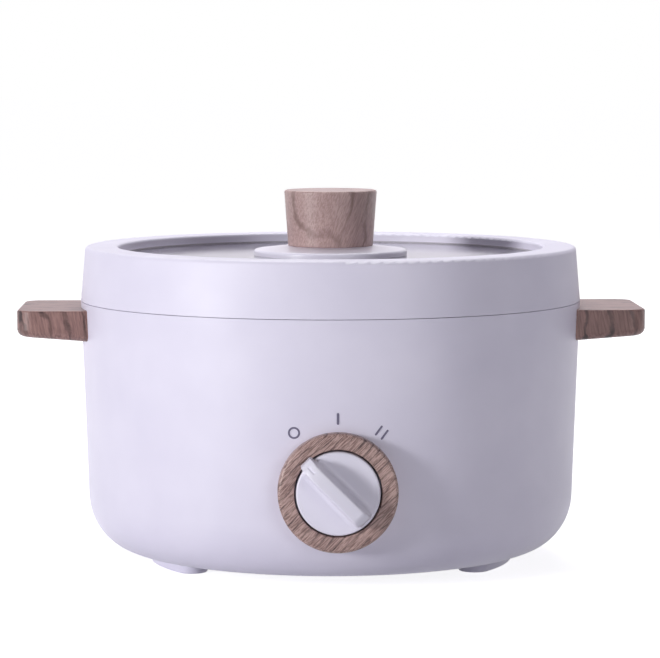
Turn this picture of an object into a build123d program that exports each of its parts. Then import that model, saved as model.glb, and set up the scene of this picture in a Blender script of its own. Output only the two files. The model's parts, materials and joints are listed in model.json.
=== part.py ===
from build123d import *
from math import atan2, cos, degrees, hypot, radians, sin, sqrt, tan
import os

# An electric hot pot with a lift-off glass lid. Millimetres. +Z is up, the dial faces -Y and the handles lie
# along X. The origin is on the pot's axis, in the plane of the feet's undersides.

# ---- Body shell
shell_height = 130.2  # from its underside to its top land
shell_top_r = 131.8
shell_taper = 2.0  # degrees; the wall widens towards the top
corner_reach = 24.4  # the rounded lower corner, outwards
corner_rise = 28.6  # and upwards
shell_wall = 3.0
shelf_web = 3.0  # of the shelf under the pan's gasket

# ---- Cooking pan
rim_width = 21.8  # from the pan's mouth to the shell's outer edge
pan_mouth_round = 1.2
heater_space = 49.1  # from the shell's underside to the pan's floor
pan_taper = 1.5  # degrees
pan_corner = 32.0
pan_wall = 2.5
shell_land = 6.0  # of the shell's top, outside the pan's flange
pan_flange_thickness = 2.0
pan_gasket_thickness = 1.0
pan_hole_gap = 1.0  # from the pan's wall to the shell's shelf
pan_boss_r = 6.0
pan_boss_margin = 3.5  # from a boss to the end of the pan's flat floor
pan_boss_count = 3

# ---- Lid
seam_gap = 0.3  # between the shell's top land and the lid's skirt
lid_height = 28.1
lid_lean = 2.4  # how much narrower the skirt is at its top
lid_shoulder = 1.9
lid_inner_round = 1.0  # of the hollow, under the shoulder
lid_wall = 2.6
recess_border = 2.0  # from the pan's mouth to the recess's wall
recess_depth = 5.1
recess_edge = 1.4
glass_thickness = 4.0
glass_edge = 0.4
glass_seal_thickness = 1.0  # under the pane and round it
glass_seal_lip = 0.7  # over the pane's top face
ledge_width = 5.1
ledge_thickness = 2.5
base_ring_thickness = 2.2
base_ring_lift = 0.9  # above the skirt's lower edge
lid_lip_drop = 5.0  # of the lip that centres the lid in the pan's mouth
lid_lip_wall = 2.2
lid_lip_gap = 0.8
lid_gasket_inset = 3.0  # outwards from the pan's mouth
lid_gasket_width = 6.0
lid_screw_count = 6
lid_screw_length = 10.0
lid_screw_sink = 1.2
lid_post_r = 4.0

# ---- Lid knob and boss
boss_r = 40.4
boss_edge_height = 3.0
boss_crown = 2.0
boss_edge_round = 1.4
knob_base_r = 22.4
knob_top_r = 24.5
knob_height = 29.4
knob_round = 1.2
knob_base_round = 0.5
insert_r = 4.5
insert_length = 15.0
insert_hole_extra = 3.0
knob_screw_reach = 11.0  # into the insert
knob_washer_r = 9.0
knob_washer_thickness = 1.6
vent_r = 2.0
vent_tube_r = 4.0
vent_flange_r = 7.0
vent_flange_thickness = 1.2

# ---- Handles
handle_length = 31.9  # from the shell's outer edge to the handle's end
handle_width = 70.0
handle_drop = 3.3  # of its top face below the shell's top land
handle_thickness = 16.0
handle_slope = 4.4  # degrees; the underside rises towards the end
handle_corner = 9.0
handle_under_round = 4.0
handle_edge_round = 1.2
handle_screw_spread = 44.0
handle_screw_length = 22.0
handle_boss_r = 6.5
handle_boss_length = 4.5  # inwards of the shell's wall

# ---- Dial
dial_height = 52.9  # of its axis, above the ground
bezel_r = 29.5
bezel_hole_r = 21.5
bezel_protrusion = 7.0
bezel_round = 1.8
bezel_hole_edge = 0.4
bezel_screw_count = 3
bezel_screw_length = 9.0
dial_gap = 0.9  # between the turning knob and what stands round it
dial_face_lift = 1.0  # of the disc's face, above the bezel's
dial_disc_thickness = 3.0
dial_skirt_wall = 2.2
dial_rim_round = 1.0
dial_rest_turn = 45.0  # degrees; the pointer stands up and to the left at rest
dial_hub_r = 6.5
grip_height = 14.0
grip_tip_width = 7.4  # of its top, at the pointer's end
grip_tail_width = 9.3
grip_draft = 6.0  # degrees
grip_overhang = 2.2  # of the pointer's tip, past the disc's rim
grip_tip_height = 7.3
grip_tip_run = 10.0
grip_tail_run = 7.0
grip_tail_inset = 0.8
dial_pad_border = 1.0  # of the pad inside the wall, round the bezel
well_margin = 1.1  # the dial's well is this much deeper than the wall's curve needs
pad_margin = 0.25  # and the flat pads inside the wall stand this much proud of it

# ---- Printed marks round the dial
mark_circle_r = 36.0
mark_angle = 36.5
mark_skin = 0.12
mark_stroke = 1.2
mark_length = 5.8
mark_ring_r = 2.95
mark_ring_stroke = 0.9
mark_pair_spread = 3.6
mark_pair_stroke = 0.95

# ---- Rotary switch
shaft_r = 3.0
shaft_gap = 0.05
shaft_flat = 0.6
bush_r = 5.0
bush_stub = 0.2  # of its threaded bush, past the nut
switch_width = 27.0
switch_depth = 17.0
switch_round = 3.0
switch_back_wall = 3.0
nut_across_flats = 14.0
nut_thickness = 2.2
nut_washer_r = 7.4
nut_washer_thickness = 0.6
tab_width = 5.0
tab_thickness = 0.8
tab_length = 7.0
tab_root = 1.0
switch_tab_pitch = 7.0
switch_tab_drop = 6.6  # below the dial's axis

# ---- Heater
plate_thickness = 4.0
plate_hole_r = 10.0
plate_gap = 4.0  # to the pan's bosses
element_r = 3.3
element_gap_angle = 12.0  # half of the opening between a ring's ends
pin_r = 1.5
pin_inset = 2.5  # of a pin, from the end of its ring
pin_tail = 6.3  # of the pins, under the heat shield
link_width = 5.0
link_thickness = 1.0
link_drop = 4.0  # under the heat shield
shield_margin = 1.0  # outwards of the pan's bosses
shield_gap = 1.6
shield_rim = 6.0
shield_thickness = 1.0
shield_pin_hole_r = 4.0
shield_tab_hole_r = 9.0
earth_tab_reach = 7.5
thermostat_r = 8.0
thermostat_height = 10.0
thermostat_round = 0.8
thermostat_tab_offset = 6.2
thermostat_tab_width = 4.0
thermostat_tab_tail = 4.3  # under the heat shield
bracket_width = 8.0
bracket_thickness = 0.8
bracket_gap = 2.4  # from the thermostat to the bracket's legs
bracket_foot = 9.0

# ---- Power inlet, at the back
inlet_height = 42.0
inlet_pad_lift = 0.3  # of the flat pad, out of the wall
inlet_pad_margin = 5.0  # round the inlet's flange at its sides
inlet_pad_border = 3.0  # and above and below it
inlet_pad_corner = 5.0
inlet_flange_width = 50.0
inlet_flange_tall = 25.0
inlet_flange_thickness = 2.0
inlet_flange_corner = 4.0
inlet_body_border = 2.4  # of the housing's wall, round the socket
inlet_body_corner = 1.2
inlet_back_wall = 3.5
socket_width = 24.2
socket_tall = 16.6
socket_depth = 15.5
socket_chamfer = 4.0
contact_spread = 14.0
contact_drop = 2.0
contact_rise = 4.0
contact_wide = 4.0
contact_thick = 2.0
contact_setback = 3.0  # of the pins' tips, behind the socket's mouth
contact_tail = 8.0
inlet_screw_spread = 40.0
inlet_screw_margin = 1.0  # from the screw's point to the pad's inner face

# ---- Underside
foot_height = 7.0
foot_width = 18.0  # across, where it meets the shell
foot_span = 21.0  # degrees, between the middles of its round ends
foot_draft = 8.0  # degrees
foot_round = 1.0
foot_margin = 6.3  # from a foot to the end of the shell's flat underside
front_foot_angle = 66.0  # degrees, of a front foot from the dial; the third foot is at the back
foot_boss_r = 5.0
foot_boss_height = 9.0
foot_screw_length = 13.0
cover_gap = 1.4  # to the bores of the pan's posts
cover_thickness = 2.0
cover_edge = 0.5
cover_seat = 10.0  # width of the shell's lip under the cover's edge
cover_lip_thickness = 3.0
cover_lip_width = 4.0  # outwards of the cover
cover_screw_count = 4
cover_screw_length = 7.0
cover_vent_border = 10.2  # from the vents to the edge of the shell's opening
cover_vent_count = 12
cover_vent_length = 16.0
cover_vent_width = 3.0
post_r = 7.5
post_bore_r = 4.6
post_bore_depth = 8.0  # above the shell's floor

# ---- Fasteners, fits and wires
small_screw_r = 1.5
main_screw_r = 2.0
knob_screw_r = 2.5
thread_gap = 0.05
hole_gap = 0.3
fit_gap = 0.1
blind_end = 1.0  # of stock left past a blind hole
wire_r = 1.3
wire_gap = 0.7  # over the shell's cover lip
wire_step = 5.5  # between the levels at which wires cross
wire_bend = 6.0
bend_share = 0.45  # of a straight run, the most that one bend may take up
wire_side_x = 16.0


def corner_center(top_r, rise_to_top, taper, reach, rise):
    """How far from the axis a cup's corner is centred, which is where its flat floor ends."""
    lean = radians(taper)
    support = hypot(reach * cos(lean), rise * sin(lean))
    return top_r - ((rise_to_top - rise) * sin(lean) + support) / cos(lean)


def wall_radius(z):
    """The shell's outer radius at a height above its rounded corner."""
    return shell_top_r - (shell_top_z - z) * tan(radians(shell_taper))


def wall_fall(z, half_width):
    """How far the round wall falls back from a flat tangent plane at a distance from its middle."""
    return wall_radius(z) - sqrt(wall_radius(z) ** 2 - half_width**2)


# ---- Heights that follow from these
shell_top_z = foot_height + shell_height
shell_floor_z = foot_height + shell_wall
flange_low_z = shell_top_z - pan_flange_thickness
gasket_low_z = flange_low_z - pan_gasket_thickness
shelf_low_z = gasket_low_z - shelf_web
pan_floor_z = foot_height + heater_space
pan_under_z = pan_floor_z - pan_wall
lid_low_z = shell_top_z + seam_gap
lid_top_z = lid_low_z + lid_height
glass_top_z = lid_top_z - recess_depth
glass_low_z = glass_top_z - glass_thickness
ledge_z = glass_low_z - glass_seal_thickness
base_ring_low_z = lid_low_z + base_ring_lift
base_ring_top_z = base_ring_low_z + base_ring_thickness
boss_top_z = glass_top_z + boss_edge_height + boss_crown
knob_washer_low_z = glass_low_z - knob_washer_thickness
plate_low_z = pan_under_z - plate_thickness
element_z = plate_low_z - element_r
thermostat_low_z = pan_under_z - thermostat_height
bracket_low_z = thermostat_low_z - bracket_thickness
shield_top_z = min(bracket_low_z, element_z - element_r) - shield_gap
shield_low_z = shield_top_z - shield_thickness
pin_low_z = shield_low_z - pin_tail
thermostat_tab_z = shield_low_z - thermostat_tab_tail
handle_top_z = shell_top_z - handle_drop
handle_mid_z = handle_top_z - handle_thickness / 2
post_head_z = shell_floor_z + post_bore_depth
cover_lip_z = shell_floor_z + cover_lip_thickness
foot_boss_z = shell_floor_z + foot_boss_height
wire_low_z = cover_lip_z + wire_r + wire_gap
wire_mid_z = wire_low_z + wire_step
wire_high_z = wire_mid_z + wire_step

# ---- Radii that follow
pan_mouth_r = shell_top_r - rim_width
pan_flange_r = shell_top_r - shell_land - hole_gap
pan_hole_r = pan_mouth_r + pan_wall + pan_hole_gap
pan_flat_r = corner_center(pan_mouth_r, shell_top_z - pan_floor_z, pan_taper, pan_corner, pan_corner)
pan_boss_circle_r = pan_flat_r - pan_boss_margin - pan_boss_r
plate_r = pan_boss_circle_r - pan_boss_r - plate_gap
bracket_reach = thermostat_r + bracket_gap + bracket_foot
ring_space = (plate_r - bracket_reach - 4 * element_r) / 3  # beside and between the two rings
low_ring_r = bracket_reach + ring_space + element_r
high_ring_r = low_ring_r + ring_space + 2 * element_r
shield_r = pan_boss_circle_r + pan_boss_r + shield_margin + shield_thickness
cover_r = pan_boss_circle_r - post_bore_r - cover_gap
cover_opening_r = cover_r - cover_seat
cover_lip_r = cover_r + cover_lip_width
cover_vent_circle_r = cover_opening_r - cover_vent_border - cover_vent_length / 2
cover_screw_circle_r = (cover_r + cover_opening_r) / 2
shell_flat_r = corner_center(shell_top_r, shell_height, shell_taper, corner_reach, corner_rise)
foot_circle_r = shell_flat_r - foot_margin - foot_width / 2
recess_r = pan_mouth_r + recess_border
glass_seal_r = recess_r - fit_gap
glass_r = glass_seal_r - glass_seal_thickness
lid_screw_circle_r = (recess_r + shell_top_r) / 2
vent_distance = (boss_r + recess_r) / 2  # behind the knob's axis
handle_reach = shell_top_r + handle_length

# ---- The dial, seen along its own axis from the wall outwards
dial_wall_y = wall_radius(dial_height)
dial_pad_r = bezel_r + dial_pad_border
dial_pad_depth = shell_wall + wall_fall(dial_height, dial_pad_r) + pad_margin
dial_well_depth = wall_fall(dial_height, bezel_hole_r) + well_margin
disc_face = bezel_protrusion + dial_face_lift
disc_r = bezel_hole_r - dial_gap
nut_low = nut_washer_thickness - dial_well_depth
bush_top = nut_low + nut_thickness + bush_stub
hub_low = bush_top + dial_gap
hub_top = disc_face - dial_disc_thickness
switch_back = -dial_pad_depth - switch_depth
bezel_screw_circle_r = (bezel_r + bezel_hole_r) / 2

# ---- The inlet, seen along its own axis from the pad outwards
inlet_pad_face = wall_radius(inlet_height) + inlet_pad_lift
inlet_pad_width = inlet_flange_width + 2 * inlet_pad_margin
inlet_pad_tall = inlet_flange_tall + 2 * inlet_pad_border
inlet_pad_inner = -inlet_pad_lift - shell_wall - wall_fall(inlet_height, inlet_pad_width / 2) - pad_margin
socket_floor = inlet_flange_thickness - socket_depth
inlet_back = socket_floor - inlet_back_wall
contact_tip = inlet_flange_thickness - contact_setback
contact_end = inlet_back - contact_tail

UP = (Align.CENTER, Align.CENTER, Align.MIN)
SIDES = (-1, 1)
TO_RIGHT = Rot(0, 90, 0)  # turns an upright piece to point at +X
# The dial's own frame: X to the right and Y up for someone facing it, Z out of the wall towards them.
DIAL = Plane(origin=(0, -dial_wall_y, dial_height), x_dir=(1, 0, 0), z_dir=(0, -1, 0))
# The power inlet's frame, in the same way, for someone behind the pot.
INLET = Plane(origin=(0, inlet_pad_face, inlet_height), x_dir=(-1, 0, 0), z_dir=(0, 1, 0))


# ---- Helpers
def rod(radius, low, high):
    """An upright cylinder between two heights."""
    return Pos(0, 0, low) * Cylinder(radius, high - low, align=UP)


def tube(outer, inner, low, high):
    """An upright tube between two heights."""
    return rod(outer, low, high) - rod(inner, low, high)


def plate(outline, low, high):
    """A flat outline given thickness between two heights."""
    return Pos(0, 0, low) * extrude(outline, high - low)


def block(wide, deep, low, high):
    """An upright rectangular block between two heights."""
    return Pos(0, 0, low) * Box(wide, deep, high - low, align=UP)


def turned(section):
    """A half section in radius and height, turned about the pot's axis."""
    return revolve(Plane.XZ * section, Axis.Z)


def rounded(section, point, radius):
    """A section with the corner nearest to a point rounded."""
    corner = section.vertices().sort_by_distance((point[0], point[1], 0))[0]
    return fillet(corner, radius)


def around(radius, count, first_angle=90.0):
    """Evenly spaced places on a circle about the axis."""
    turns = [radians(first_angle + 360.0 * i / count) for i in range(count)]
    return [Pos(radius * cos(a), radius * sin(a), 0) for a in turns]


def copies(places, shape):
    """The same solid at several places, kept as separate solids."""
    return Compound(children=[place * shape for place in places])


def without(shape, places, tool):
    """A shape with the same tool cut out of it at several places."""
    for place in places:
        shape -= place * tool
    return shape


def cup(top_r, top_z, floor_z, taper, reach, rise, cut_z):
    """The solid of a round cup: flat floor, elliptical corner, tapered wall, cut level at cut_z."""
    lean = radians(taper)
    corner_r = corner_center(top_r, top_z - floor_z, taper, reach, rise)
    turn = degrees(atan2(rise * sin(lean), reach * cos(lean)))
    corner_at = (corner_r, floor_z + rise)
    corner = EllipticalCenterArc(corner_at, reach, rise, start_angle=270, arc_size=90 - turn)
    cut_r = top_r - (top_z - cut_z) * tan(lean)
    floor = Line((0, floor_z), corner @ 0)
    rest = Polyline(corner @ 1, (cut_r, cut_z), (0, cut_z), (0, floor_z))
    return turned(make_face(floor + corner + rest))


def shell_form(inset=0.0, cut_z=shell_top_z):
    """What lies inside the shell's outer surface, moved inwards by inset."""
    top_r = shell_top_r - inset / cos(radians(shell_taper))
    reach = corner_reach - inset
    rise = corner_rise - inset
    return cup(top_r, shell_top_z, foot_height + inset, shell_taper, reach, rise, cut_z)


def pan_form(outset=0.0):
    """What lies inside the pan's inner surface, moved outwards by outset."""
    top_r = pan_mouth_r + outset / cos(radians(pan_taper))
    corner = pan_corner + outset
    return cup(top_r, shell_top_z, pan_floor_z - outset, pan_taper, corner, corner, shell_top_z)


def screw(shank_r, length):
    """A pan-head screw: its shank points up from z = 0 and its cross-slotted head hangs below."""
    head_height = 1.2 * shank_r
    head = rod(1.9 * shank_r, -head_height, 0)
    head = fillet(head.edges().group_by(Axis.Z)[0], 0.35 * head_height)
    slot = Pos(0, 0, -head_height) * Box(2.2 * shank_r, 0.5 * shank_r, head_height)
    return head - slot - Rot(0, 0, 90) * slot + rod(shank_r, 0, length)


def thread(shank_r, low, high):
    """The hole that a screw's thread holds in."""
    return rod(shank_r + thread_gap, low, high)


def clear_hole(shank_r, low, high):
    """The hole that a screw passes through."""
    return rod(shank_r + hole_gap, low, high)


def bend_radii(points):
    """The radius of each of a wire's corners: the usual bend, or less where a run beside it is short."""
    runs = [Vector(*far) - Vector(*near) for near, far in zip(points, points[1:])]
    radii = []
    for before, after in zip(runs, runs[1:]):
        turn = radians(before.get_angle(after))
        room = bend_share * min(before.length, after.length) / tan(turn / 2)
        radii.append(min(wire_bend, room))
    return radii


def wire(points):
    """A round insulated wire along straight runs joined by arcs."""
    path = FilletPolyline(*points, radius=bend_radii(points))
    section = Plane(origin=path @ 0, z_dir=path % 0) * Circle(wire_r)
    return sweep(section, path=path)


# ---- Places that several pieces share
def handle_screw_places():
    """Where the right handle's screws bear on the shell's inner bosses, pointing outwards."""
    y = handle_screw_spread / 2
    x = sqrt(wall_radius(handle_mid_z) ** 2 - y**2) - shell_wall - handle_boss_length
    return [Pos(x, side * y, handle_mid_z) * TO_RIGHT for side in SIDES]


def pin_place(ring_r, side):
    """Where a pin hangs from one end of a heating element's ring."""
    turn = radians(270 + side * (element_gap_angle + degrees(pin_inset / ring_r)))
    return Pos(ring_r * cos(turn), ring_r * sin(turn), 0)


pan_bosses_at = around(pan_boss_circle_r, pan_boss_count)
feet_at = around(foot_circle_r, 1)
feet_at += around(foot_circle_r, 1, 270 - front_foot_angle) + around(foot_circle_r, 1, 270 + front_foot_angle)
cover_screws_at = around(cover_screw_circle_r, cover_screw_count, 45.0)
lid_screws_at = around(lid_screw_circle_r, lid_screw_count, 30.0)
bezel_screws_at = around(bezel_screw_circle_r, bezel_screw_count, 30.0)
handle_screws_at = handle_screw_places()
low_pins_at = [pin_place(low_ring_r, side) for side in SIDES]
high_pins_at = [pin_place(high_ring_r, side) for side in SIDES]
bracket_foot_x = thermostat_r + bracket_gap + bracket_foot / 2
bracket_screws_at = [Pos(side * bracket_foot_x, 0, 0) for side in SIDES]
inlet_screws_at = [Pos(side * inlet_screw_spread / 2, 0, 0) for side in SIDES]
contacts_at = [Pos(side * contact_spread / 2, -contact_drop, 0) for side in SIDES] + [Pos(0, contact_rise, 0)]
switch_tabs_at = [Pos(i * switch_tab_pitch, -switch_tab_drop, 0) for i in (-1, 0, 1)]


# ---- Body shell
def shell_inner_features():
    """The posts, bosses and pads that are moulded inside the shell."""
    features = tube(cover_lip_r, cover_opening_r, foot_height, cover_lip_z)
    for place in pan_bosses_at:
        features += place * rod(post_r, foot_height, shield_low_z)
    for place in feet_at:
        features += place * rod(foot_boss_r, foot_height, foot_boss_z)
    for place in handle_screws_at:
        boss = place * rod(handle_boss_r, 0, handle_boss_length + shell_wall)
        features += boss + mirror(boss, Plane.YZ)
    features += DIAL * rod(dial_pad_r, -dial_pad_depth, 0)
    return features & shell_form()


def shell_openings():
    """The pan's mouth, the cover's opening, the dial's well and the inlet's hole."""
    openings = rod(pan_hole_r, shelf_low_z - 1, shell_top_z + 1)
    openings += rod(pan_flange_r + hole_gap, gasket_low_z, shell_top_z + 1)
    openings += rod(cover_opening_r, foot_height - 1, cover_lip_z + 1)
    openings += rod(cover_r + hole_gap, foot_height - 1, foot_height + cover_thickness)
    openings += DIAL * rod(bezel_hole_r, -dial_well_depth, bezel_protrusion)
    openings += DIAL * rod(bush_r + fit_gap, -dial_pad_depth - 1, 0)
    return openings + INLET * plate(inlet_body_outline(hole_gap), inlet_pad_inner - 1, 1)


def shell_screw_holes():
    """Every screw hole in the shell."""
    post = rod(post_bore_r, foot_height - 1, post_head_z)
    post += clear_hole(main_screw_r, post_head_z, shield_low_z + 1)
    foot_bore = thread(small_screw_r, foot_height - 1, foot_boss_z - blind_end)
    cover_bore = thread(small_screw_r, foot_height, cover_lip_z + 1)
    bezel_bore = clear_hole(small_screw_r, -dial_pad_depth - 1, 1)
    inlet_bore = thread(small_screw_r, inlet_pad_inner - 1, 1)
    handle_bore = clear_hole(main_screw_r, -1, handle_boss_length + 2 * shell_wall)
    holes = [place * post for place in pan_bosses_at]
    holes += [place * foot_bore for place in feet_at]
    holes += [place * cover_bore for place in cover_screws_at]
    holes += [DIAL * place * bezel_bore for place in bezel_screws_at]
    holes += [INLET * place * inlet_bore for place in inlet_screws_at]
    holes += [place * handle_bore for place in handle_screws_at]
    holes += [mirror(place * handle_bore, Plane.YZ) for place in handle_screws_at]
    return holes


def body_shell():
    shell = shell_form() - shell_form(shell_wall, shelf_low_z) + shell_inner_features()
    pad = RectangleRounded(inlet_pad_width, inlet_pad_tall, inlet_pad_corner)
    shell += INLET * plate(pad, inlet_pad_inner, 0)
    shell -= INLET * plate(pad, 0, shell_wall)
    shell -= shell_openings()
    for hole in shell_screw_holes():
        shell -= hole
    return shell


# ---- Pan
def cooking_pan():
    pan = pan_form(pan_wall) + rod(pan_flange_r, flange_low_z, shell_top_z)
    for place in pan_bosses_at:
        pan += place * rod(pan_boss_r, shield_top_z, pan_floor_z)
    pan -= pan_form()
    pan = without(pan, pan_bosses_at, thread(main_screw_r, shield_top_z - 1, pan_under_z - blind_end))
    mouth = pan.edges().filter_by(GeomType.CIRCLE).group_by(Axis.Z)[-1].sort_by(SortBy.RADIUS)[0]
    return fillet(mouth, pan_mouth_round)


def pan_gasket():
    return tube(pan_flange_r, pan_hole_r, gasket_low_z, flange_low_z)


def pan_screws():
    length = pan_under_z - 2 * blind_end - post_head_z
    return copies(pan_bosses_at, Pos(0, 0, post_head_z) * screw(main_screw_r, length))


# ---- Heater
def heater_plate():
    body = tube(plate_r, plate_hole_r, plate_low_z, pan_under_z)
    return without(body, bracket_screws_at, thread(small_screw_r, plate_low_z - 1, pan_under_z - fit_gap))


def heating_element(ring_r, pins_at):
    """A tubular element bent to an open ring, brazed under the heater plate, with its gap at the front."""
    sweep_angle = 360 - 2 * element_gap_angle
    ring = CenterArc((0, 0, element_z), ring_r, 270 + element_gap_angle, sweep_angle)
    sheath = sweep(Plane(origin=ring @ 0, z_dir=ring % 0) * Circle(element_r), path=ring)
    return without(sheath, pins_at, rod(pin_r + thread_gap, element_z - 2 * element_r, element_z))


def element_pins():
    return copies(low_pins_at + high_pins_at, rod(pin_r, pin_low_z, element_z - thread_gap))


def element_link():
    """The strip that joins the two rings' left pins."""
    near, far = low_pins_at[0].position, high_pins_at[0].position
    top = shield_low_z - link_drop
    strip = plate(SlotCenterToCenter((far - near).length, link_width), top - link_thickness, top)
    middle = (near + far) * 0.5
    turn = degrees(atan2(far.Y - near.Y, far.X - near.X))
    link = Pos(middle.X, middle.Y, 0) * Rot(0, 0, turn) * strip
    return without(link, [low_pins_at[0], high_pins_at[0]], rod(pin_r + thread_gap, pin_low_z, top + 1))


def heat_shield():
    dish = rod(shield_r, shield_low_z, shield_top_z + shield_rim)
    dish -= rod(shield_r - shield_thickness, shield_top_z, shield_top_z + shield_rim)
    tab_z = shield_top_z + shield_rim / 2
    tab_deep = earth_tab_reach + shield_thickness
    tab = block(tab_width, tab_deep, tab_z - tab_thickness / 2, tab_z + tab_thickness / 2)
    dish += Pos(0, shield_r + (earth_tab_reach - shield_thickness) / 2, 0) * tab
    dish = without(dish, low_pins_at + high_pins_at, rod(shield_pin_hole_r, shield_low_z, shield_top_z))
    dish = without(dish, pan_bosses_at, clear_hole(main_screw_r, shield_low_z, shield_top_z))
    return dish - rod(shield_tab_hole_r, shield_low_z, shield_top_z)


def thermostat():
    body = rod(thermostat_r, thermostat_low_z, pan_under_z)
    body = fillet(body.edges().group_by(Axis.Z)[-1], thermostat_round)
    for side in SIDES:
        tab = block(thermostat_tab_width, tab_thickness, thermostat_tab_z, thermostat_low_z + tab_root)
        body += Pos(0, side * thermostat_tab_offset, 0) * tab
    return body


def thermostat_bracket():
    """A hat-shaped spring strip that presses the thermostat up against the pan."""
    leg_x = thermostat_r + bracket_gap
    strip = block(2 * leg_x, bracket_width, bracket_low_z, thermostat_low_z)
    foot = block(bracket_foot, bracket_width, plate_low_z - bracket_thickness, plate_low_z)
    foot -= clear_hole(small_screw_r, bracket_low_z, plate_low_z)
    for side in SIDES:
        leg = block(bracket_thickness, bracket_width, bracket_low_z, plate_low_z)
        strip += Pos(side * (leg_x + bracket_thickness / 2 - fit_gap), 0, 0) * leg
    return strip + [place * foot for place in bracket_screws_at]


def thermostat_screws():
    piece = Pos(0, 0, plate_low_z - bracket_thickness) * screw(small_screw_r, plate_thickness)
    return copies(bracket_screws_at, piece)


# ---- Rotary switch
def switch_tab():
    return block(tab_thickness, tab_width, switch_back - tab_length, switch_back + tab_root)


def switch_housing():
    outline = RectangleRounded(switch_width, switch_width, switch_round)
    housing = plate(outline, switch_back, -dial_pad_depth) + rod(bush_r, -dial_pad_depth, bush_top)
    housing -= rod(shaft_r + shaft_gap, switch_back + switch_back_wall, bush_top)
    return DIAL * without(housing, switch_tabs_at, switch_tab())


def switch_tabs():
    return Compound(children=[DIAL * place * switch_tab() for place in switch_tabs_at])


def shaft_section():
    """A round shaft with one flat, seen along its axis."""
    return Circle(shaft_r) - Pos(0, 2 * shaft_r - shaft_flat) * Rectangle(2 * shaft_r, 2 * shaft_r)


def switch_shaft():
    shaft = rod(shaft_r, switch_back + switch_back_wall + fit_gap, hub_low)
    shaft += plate(shaft_section(), hub_low, hub_top - 2 * fit_gap)
    return DIAL * Rot(0, 0, dial_rest_turn) * shaft


def switch_washer():
    return DIAL * tube(nut_washer_r, bush_r + fit_gap, -dial_well_depth, nut_low)


def switch_nut():
    outline = RegularPolygon(nut_across_flats / 2, 6, major_radius=False) - Circle(bush_r + thread_gap)
    return DIAL * plate(outline, nut_low, nut_low + nut_thickness)


# ---- Dial
def dial_bezel():
    ring = tube(bezel_r, bezel_hole_r, -2 * dial_pad_depth, bezel_protrusion)
    outer_edge = ring.edges().group_by(Axis.Z)[-1].sort_by(SortBy.RADIUS)[-1]
    ring = fillet(outer_edge, bezel_round)
    hole_edge = ring.edges().group_by(Axis.Z)[-1].sort_by(SortBy.RADIUS)[0]
    ring = chamfer(hole_edge, bezel_hole_edge)
    bore = thread(small_screw_r, -2 * dial_pad_depth, bezel_screw_length - dial_pad_depth + blind_end)
    return DIAL * without(ring, bezel_screws_at, bore) - shell_form()


def bezel_screws():
    piece = Pos(0, 0, -dial_pad_depth) * screw(small_screw_r, bezel_screw_length)
    return Compound(children=[DIAL * place * piece for place in bezel_screws_at])


def grip_profile():
    """The grip bar from the side: level along its middle, falling to the pointer's tip and to the tail."""
    tip = disc_r + grip_overhang
    tail = grip_tail_inset - disc_r
    drop = grip_height - grip_tip_height
    crown_at = (tip - grip_tip_run, grip_tip_height)
    crown = EllipticalCenterArc(crown_at, grip_tip_run, drop, start_angle=0, arc_size=90)
    fall_at = (tail + grip_tail_run, 0)
    fall = EllipticalCenterArc(fall_at, grip_tail_run, grip_height, start_angle=90, arc_size=90)
    outline = Line((tip, 0), crown @ 0) + crown + Line(crown @ 1, fall @ 0) + fall + Line(fall @ 1, (tip, 0))
    return make_face(outline)


def grip():
    """The bar across the dial, with its pointer up: drafted sides that part a little towards the tail."""
    spread = grip_height * tan(radians(grip_draft))
    tip_x = grip_tip_width / 2 + spread
    tail_x = grip_tail_width / 2 + spread
    end = disc_r + grip_overhang + spread
    footprint = make_face(Polyline((-tail_x, -end), (tail_x, -end), (tip_x, end), (-tip_x, end), close=True))
    bar = extrude(footprint, grip_height, taper=grip_draft)
    return bar & extrude(Plane.YZ * grip_profile(), disc_r, both=True)


def dial_knob():
    skirt_low = dial_gap - dial_well_depth
    disc = rod(disc_r, skirt_low, disc_face)
    disc = fillet(disc.edges().group_by(Axis.Z)[-1], dial_rim_round)
    disc -= rod(disc_r - dial_skirt_wall, skirt_low, hub_top)
    bore = plate(offset(shaft_section(), shaft_gap), hub_low, hub_top - fit_gap)
    hub = rod(dial_hub_r, hub_low, hub_top) - bore
    return DIAL * Rot(0, 0, dial_rest_turn) * (disc + hub + Pos(0, 0, disc_face) * grip())


def dial_marks():
    """The printed ring, bar and pair of bars, as a thin skin on the wall."""
    skin = shell_form(-mark_skin) - shell_form()
    ring = Pos(0, mark_circle_r) * (Circle(mark_ring_r) - Circle(mark_ring_r - mark_ring_stroke))
    bar = Pos(0, mark_circle_r) * SlotOverall(mark_length, mark_stroke, rotation=90)
    thin_bar = Pos(0, mark_circle_r) * SlotOverall(mark_length, mark_pair_stroke, rotation=90)
    pair = [Pos(side * mark_pair_spread / 2, 0) * thin_bar for side in SIDES]
    outlines = [Rot(0, 0, mark_angle) * ring, bar] + [Rot(0, 0, -mark_angle) * one for one in pair]
    marks = []
    for outline in outlines:
        marks += (DIAL * extrude(outline, 2 * dial_pad_depth, both=True) & skin).solids()
    return Compound(children=marks)


# ---- Handles
def outer_edges(face, root_x):
    """A face's edges, without the one at the handle's root."""
    return [edge for edge in face.edges() if edge.center().X > root_x + 1]


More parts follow.
